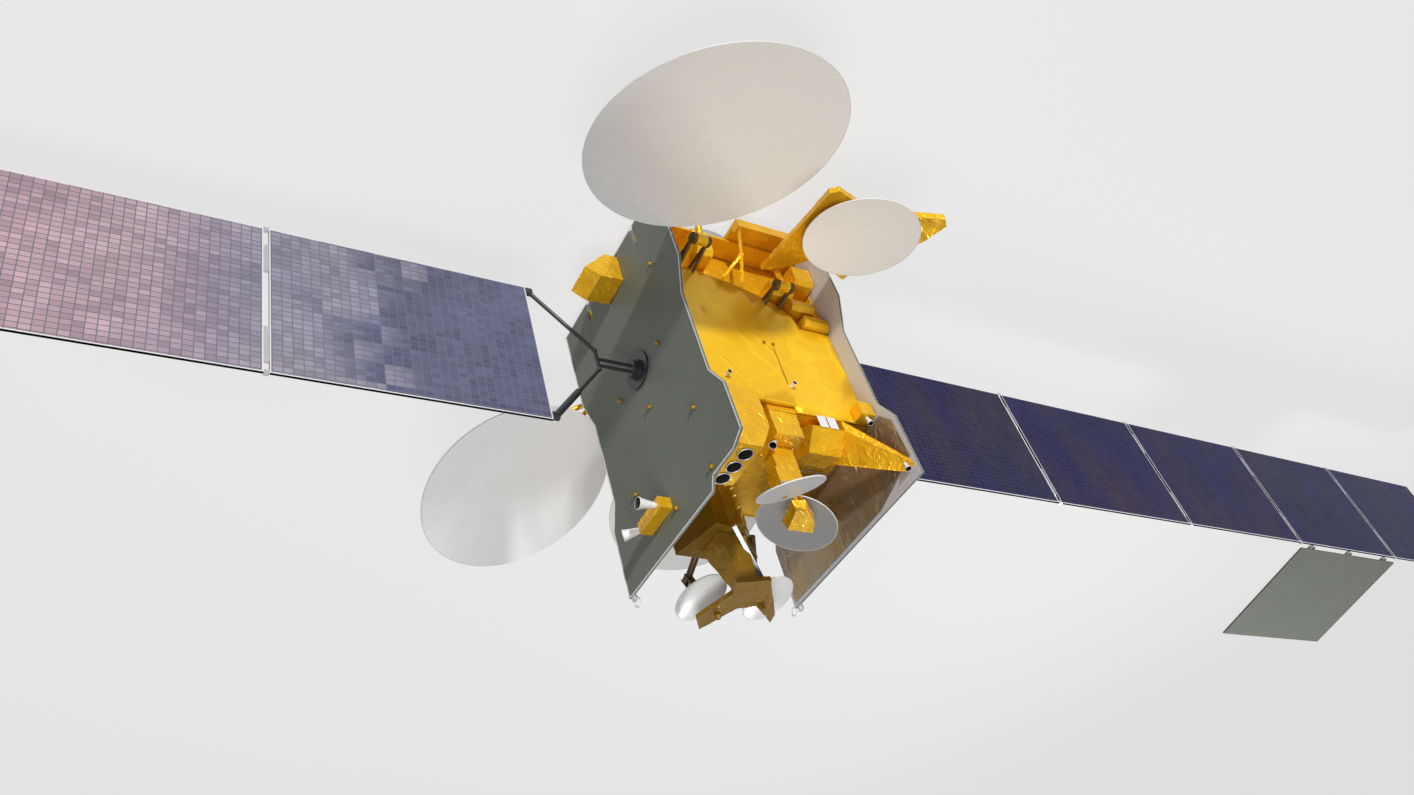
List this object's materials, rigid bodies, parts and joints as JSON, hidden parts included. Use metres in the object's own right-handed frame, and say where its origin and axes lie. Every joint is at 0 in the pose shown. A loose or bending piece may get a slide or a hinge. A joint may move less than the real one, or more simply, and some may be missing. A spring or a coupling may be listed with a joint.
{
  "type": "geostationary communications satellite",
  "caption": "Box-bodied communications satellite with two long solar wings on rotating drives, a folding side panel, hinged dish reflectors and steerable dishes on its Earth deck.",
  "frame": {"origin": "centre of the launch adapter ring's separation plane", "axes": "+Z towards the Earth-facing end, +Y along the north solar wing, +X towards the side that the solar cells face"},
  "size_m": [8.7322, 36.638, 5.03],
  "materials": {
    "gold_foil": "crinkled gold film blanket",
    "mirror_tiles": "grey-green second-surface mirror tiles",
    "solar_cells": "glossy blue cells on a carbon face",
    "reflector_shell": "smooth pale grey",
    "carbon_fibre": "satin black",
    "bare_metal": "satin",
    "nozzle_metal": "heat-darkened",
    "white_paint": "satin white"
  },
  "bodies": {
    "bus": {"adapter_ring": "bare_metal", "antenna_tower": "gold_foil", "apogee_engine": "nozzle_metal", "array_drive_north": "carbon_fibre", "array_drive_south": "carbon_fibre", "bay_fittings": "gold_foil", "central_body": "gold_foil", "command_horns": "white_paint", "corner_blanket": "gold_foil", "deck_tower": "gold_foil", "feed_block": "gold_foil", "floor_beam": "gold_foil", "floor_panel": "gold_foil", "gregorian_main_mast": "carbon_fibre", "hinge_bracket_large_minus_x": "carbon_fibre", "hinge_bracket_large_plus_x": "carbon_fibre", "hinge_bracket_medium_minus_x": "carbon_fibre", "hinge_bracket_small_plus_x": "carbon_fibre", "hoist_rings": "bare_metal", "horn_bracket": "gold_foil", "radiator_panel_north": "mirror_tiles", "radiator_panel_south": "mirror_tiles", "repeater_box": "gold_foil", "spot_left_mast": "carbon_fibre", "spot_right_mast": "carbon_fibre", "star_feed": "gold_foil", "subreflector": "reflector_shell", "thruster_module_north": "gold_foil", "thruster_module_south": "gold_foil", "thrusters": "white_paint", "wall_box": "gold_foil", "wall_minus_x": "gold_foil", "wall_plus_x": "gold_foil"},
    "reflector_large_minus_x_body": {"arm_large_minus_x": "gold_foil", "reflector_large_minus_x": "reflector_shell"},
    "reflector_large_plus_x_body": {"arm_large_plus_x": "gold_foil", "reflector_large_plus_x": "reflector_shell"},
    "reflector_medium_minus_x_body": {"arm_medium_minus_x": "gold_foil", "reflector_medium_minus_x": "reflector_shell"},
    "reflector_small_plus_x_body": {"arm_small_plus_x": "gold_foil", "reflector_small_plus_x": "reflector_shell"},
    "gregorian_main_body": {"gregorian_main": "reflector_shell"},
    "south_wing": {"lateral_hinge_lugs": "bare_metal", "south_panel_1": "solar_cells", "south_panel_2": "solar_cells", "south_panel_3": "solar_cells", "south_panel_4": "solar_cells", "south_panel_5": "solar_cells", "south_panel_hinges": "bare_metal", "yoke_south": "carbon_fibre"},
    "lateral_panel_body": {"lateral_panel": "mirror_tiles"},
    "north_wing": {"north_panel_1": "solar_cells", "north_panel_2": "solar_cells", "north_panel_3": "solar_cells", "north_panel_4": "solar_cells", "north_panel_5": "solar_cells", "north_panel_hinges": "bare_metal", "yoke_north": "carbon_fibre"},
    "spot_left_body": {"spot_left": "reflector_shell"},
    "spot_right_body": {"spot_right": "reflector_shell"}
  },
  "joints": [
    {"name": "deploy_large_plus_x", "type": "hinge", "parent": "bus", "child": "reflector_large_plus_x_body", "pos_m": [1.45, 0.85, 1.23], "axis": [-0.0608, -0.9953, -0.0758], "range_deg": [0, 77.2]},
    {"name": "deploy_small_plus_x", "type": "hinge", "parent": "bus", "child": "reflector_small_plus_x_body", "pos_m": [1.3, -0.42, 1.55], "axis": [0.0487, -0.9969, 0.0615], "range_deg": [0, 76.5]},
    {"name": "deploy_large_minus_x", "type": "hinge", "parent": "bus", "child": "reflector_large_minus_x_body", "pos_m": [-1.45, 0.85, 1.53], "axis": [-0.0894, 0.9894, 0.1146], "range_deg": [0, 75.4]},
    {"name": "deploy_medium_minus_x", "type": "hinge", "parent": "bus", "child": "reflector_medium_minus_x_body", "pos_m": [-1.45, -0.6, 1.8], "axis": [0.0487, 0.9969, -0.0615], "range_deg": [0, 76.5]},
    {"name": "point_gregorian_main", "type": "hinge", "parent": "bus", "child": "gregorian_main_body", "pos_m": [0.0282, -0.50106, 4.24084], "axis": [0.991, 0, 0.1336], "range_deg": [-6, 6]},
    {"name": "point_spot_left", "type": "hinge", "parent": "bus", "child": "spot_left_body", "pos_m": [-1.35365, 0.34694, 4.48764], "axis": [0.9695, 0, -0.2449], "range_deg": [-6, 6]},
    {"name": "point_spot_right", "type": "hinge", "parent": "bus", "child": "spot_right_body", "pos_m": [-1.24947, -0.60627, 4.48415], "axis": [0.9747, 0, -0.2234], "range_deg": [-6, 6]},
    {"name": "north_array_drive", "type": "hinge", "parent": "bus", "child": "north_wing", "pos_m": [0, 1.4, 2.25], "axis": [0, 1, 0], "continuous": true},
    {"name": "south_array_drive", "type": "hinge", "parent": "bus", "child": "south_wing", "pos_m": [0, -1.4, 2.25], "axis": [0, 1, 0], "continuous": true},
    {"name": "lateral_panel_hinge", "type": "hinge", "parent": "south_wing", "child": "lateral_panel_body", "pos_m": [-0.035, -13.624, 3.4025], "axis": [0, 1, 0], "range_deg": [-100, 80]}
  ]
}
